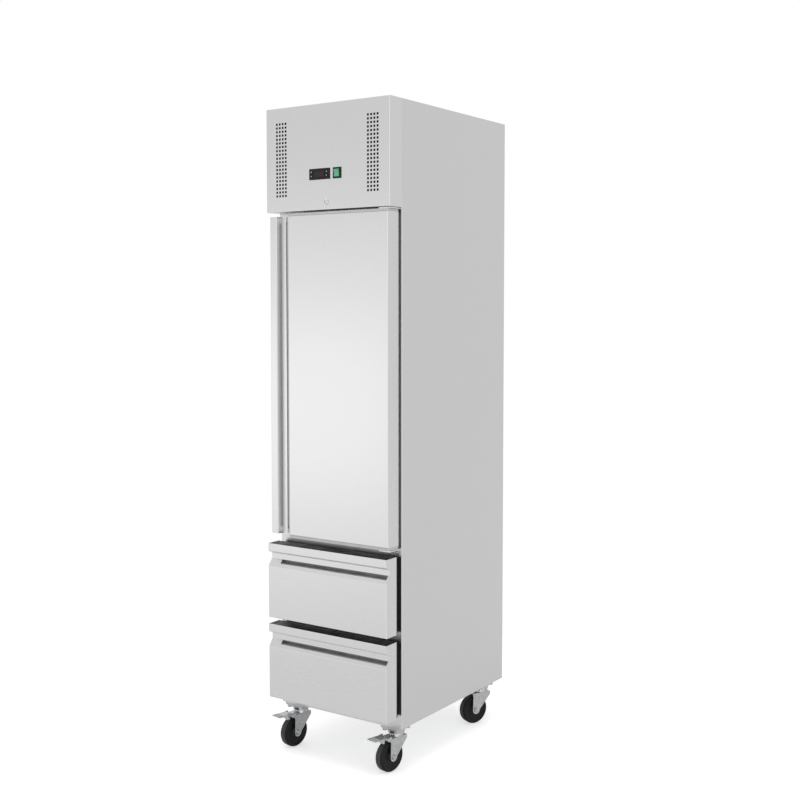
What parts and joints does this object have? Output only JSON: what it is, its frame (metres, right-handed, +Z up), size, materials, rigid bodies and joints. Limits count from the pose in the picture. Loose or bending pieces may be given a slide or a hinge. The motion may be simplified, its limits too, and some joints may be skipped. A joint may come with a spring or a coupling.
{
  "type": "upright freezer cabinet",
  "caption": "Slim upright stainless freezer cabinet with a machine fascia on top, a door with a folded full-height handle, drawers below it on telescopic rails, and castors.",
  "frame": {"origin": "on the floor under the middle of the cabinet's bounding box", "axes": "+X to the right as seen from the front, +Y to the rear, +Z up; the door faces -Y"},
  "size_m": [0.485, 0.71, 2.1],
  "materials": {
    "stainless": "brushed satin stainless sheet",
    "liner_steel": "fine satin stainless",
    "galvanised": "galvanised sheet",
    "foam": "rigid foam",
    "black_plastic": "fine grained moulding",
    "grey_plastic": "fine grained moulding",
    "white_plastic": "smooth vacuum-formed sheet",
    "seal": "soft matt seal",
    "display": "tinted window",
    "key": "soft touch key",
    "green": "translucent green rocker",
    "chrome": "bright plated",
    "zinc": "bright zinc plated",
    "tyre": "hard black tread",
    "coated_wire": "plastic coated wire",
    "black_paint": "satin black enamel",
    "copper": "drawn copper",
    "fin": "thin fin stock"
  },
  "bodies": {
    "cabinet": {"side_panel_left": "stainless", "side_panel_right": "stainless", "rear_panel": "galvanised", "base_panel": "galvanised", "insulation": "foam", "inner_liner": "liner_steel", "front_rails": "stainless", "machine_deck": "galvanised", "hinge_brackets": "zinc", "shelf_racks": "liner_steel", "wire_shelves": "coated_wire", "fascia_panel": "stainless", "controller_housing": "black_plastic", "controller_display": "display", "switch_bezel": "black_plastic", "lock_housing": "chrome", "condenser_coil": "fin", "condenser_shroud": "galvanised", "evaporator_coil": "fin", "evaporator_cover": "liner_steel", "fan_motors": "black_paint", "compressor": "black_paint", "refrigerant_lines": "copper", "electrical_box": "grey_plastic", "power_inlet": "black_plastic", "drawer_rails": "zinc", "castor_plates": "zinc"},
    "door": {"door_skin": "stainless", "door_core": "foam", "door_liner": "white_plastic", "door_caps": "grey_plastic", "door_gasket": "seal"},
    "drawer_upper": {"drawer_upper_front": "stainless", "drawer_upper_back": "black_plastic", "drawer_upper_gasket": "seal", "drawer_upper_box": "liner_steel"},
    "drawer_upper_runners": {"drawer_upper_middle_rails": "zinc"},
    "drawer_lower": {"drawer_lower_front": "stainless", "drawer_lower_back": "black_plastic", "drawer_lower_gasket": "seal", "drawer_lower_box": "liner_steel"},
    "drawer_lower_runners": {"drawer_lower_middle_rails": "zinc"},
    "button_set": {"button_set": "key"},
    "button_defrost": {"button_defrost": "key"},
    "button_up": {"button_up": "key"},
    "button_down": {"button_down": "key"},
    "rocker": {"switch_rocker": "green"},
    "lock": {"lock_plug": "chrome"},
    "condenser_fan": {"condenser_fan": "fin"},
    "evaporator_fan": {"evaporator_fan": "fin"},
    "fork_front_left": {"castor_fork_front_left": "zinc"},
    "wheel_front_left": {"castor_wheel_front_left": "tyre"},
    "fork_front_right": {"castor_fork_front_right": "zinc"},
    "wheel_front_right": {"castor_wheel_front_right": "tyre"},
    "fork_rear_left": {"castor_fork_rear_left": "zinc"},
    "wheel_rear_left": {"castor_wheel_rear_left": "tyre"},
    "fork_rear_right": {"castor_fork_rear_right": "zinc"},
    "wheel_rear_right": {"castor_wheel_rear_right": "tyre"},
    "pedal_front_left": {"brake_pedal_front_left": "zinc"},
    "pedal_front_right": {"brake_pedal_front_right": "zinc"}
  },
  "joints": [
    {"name": "door_hinge", "type": "hinge", "parent": "cabinet", "child": "door", "pos_m": [0.221, -0.322, 1.2415], "axis": [0, 0, 1], "range_deg": [0, 115]},
    {"name": "drawer_upper_slide", "type": "slide", "parent": "cabinet", "child": "drawer_upper", "axis": [0, -1, 0], "range_m": [0, 0.45]},
    {"name": "drawer_upper_runner_slide", "type": "slide", "parent": "cabinet", "child": "drawer_upper_runners", "axis": [0, -1, 0], "range_m": [0, 0.225]},
    {"name": "drawer_lower_slide", "type": "slide", "parent": "cabinet", "child": "drawer_lower", "axis": [0, -1, 0], "range_m": [0, 0.45]},
    {"name": "drawer_lower_runner_slide", "type": "slide", "parent": "cabinet", "child": "drawer_lower_runners", "axis": [0, -1, 0], "range_m": [0, 0.225]},
    {"name": "lock_turn", "type": "hinge", "parent": "cabinet", "child": "lock", "pos_m": [-0.002, -0.334, 1.7945], "axis": [0, -1, 0], "range_deg": [0, 90]},
    {"name": "rocker_tilt", "type": "hinge", "parent": "cabinet", "child": "rocker", "pos_m": [0.044, -0.3438, 1.88175], "axis": [1, 0, 0], "range_deg": [-18, 0]},
    {"name": "button_set_press", "type": "slide", "parent": "cabinet", "child": "button_set", "axis": [0, 1, 0], "range_m": [0, 0.0006], "stiffness_N_per_m": 500},
    {"name": "button_defrost_press", "type": "slide", "parent": "cabinet", "child": "button_defrost", "axis": [0, 1, 0], "range_m": [0, 0.0006], "stiffness_N_per_m": 500},
    {"name": "button_up_press", "type": "slide", "parent": "cabinet", "child": "button_up", "axis": [0, 1, 0], "range_m": [0, 0.0006], "stiffness_N_per_m": 500},
    {"name": "button_down_press", "type": "slide", "parent": "cabinet", "child": "button_down", "axis": [0, 1, 0], "range_m": [0, 0.0006], "stiffness_N_per_m": 500},
    {"name": "condenser_fan_spin", "type": "hinge", "parent": "cabinet", "child": "condenser_fan", "pos_m": [-0.0495, -0.134, 1.9215], "axis": [0, 1, 0], "continuous": true},
    {"name": "evaporator_fan_spin", "type": "hinge", "parent": "cabinet", "child": "evaporator_fan", "pos_m": [0, -0.0298, 1.676], "axis": [0, 1, 0], "continuous": true},
    {"name": "swivel_front_left", "type": "hinge", "parent": "cabinet", "child": "fork_front_left", "pos_m": [-0.195, -0.2415, 0.12], "axis": [0, 0, 1], "continuous": true},
    {"name": "roll_front_left", "type": "hinge", "parent": "fork_front_left", "child": "wheel_front_left", "pos_m": [-0.20001, -0.27311, 0.05], "axis": [0.9877, -0.1564, 0], "continuous": true},
    {"name": "brake_front_left", "type": "hinge", "parent": "fork_front_left", "child": "pedal_front_left", "pos_m": [-0.20313, -0.29286, 0.11], "axis": [0.9877, -0.1564, 0], "range_deg": [0, 15]},
    {"name": "swivel_front_right", "type": "hinge", "parent": "cabinet", "child": "fork_front_right", "pos_m": [0.195, -0.2415, 0.12], "axis": [0, 0, 1], "continuous": true},
    {"name": "roll_front_right", "type": "hinge", "parent": "fork_front_right", "child": "wheel_front_right", "pos_m": [0.18889, -0.27291, 0.05], "axis": [0.9816, -0.1908, 0], "continuous": true},
    {"name": "brake_front_right", "type": "hinge", "parent": "fork_front_right", "child": "pedal_front_right", "pos_m": [0.18508, -0.29254, 0.11], "axis": [0.9816, -0.1908, 0], "range_deg": [0, 15]},
    {"name": "swivel_rear_left", "type": "hinge", "parent": "cabinet", "child": "fork_rear_left", "pos_m": [-0.195, 0.285, 0.12], "axis": [0, 0, 1], "continuous": true},
    {"name": "roll_rear_left", "type": "hinge", "parent": "fork_rear_left", "child": "wheel_rear_left", "pos_m": [-0.19834, 0.25318, 0.05], "axis": [0.9945, -0.1045, 0], "continuous": true},
    {"name": "swivel_rear_right", "type": "hinge", "parent": "cabinet", "child": "fork_rear_right", "pos_m": [0.195, 0.285, 0.12], "axis": [0, 0, 1], "continuous": true},
    {"name": "roll_rear_right", "type": "hinge", "parent": "fork_rear_right", "child": "wheel_rear_right", "pos_m": [0.18097, 0.25624, 0.05], "axis": [0.8988, -0.4384, 0], "continuous": true}
  ],
  "couplings": [
    {"joint": "drawer_upper_runner_slide", "follows": "drawer_upper_slide", "ratio": 0.5},
    {"joint": "drawer_lower_runner_slide", "follows": "drawer_lower_slide", "ratio": 0.5}
  ]
}
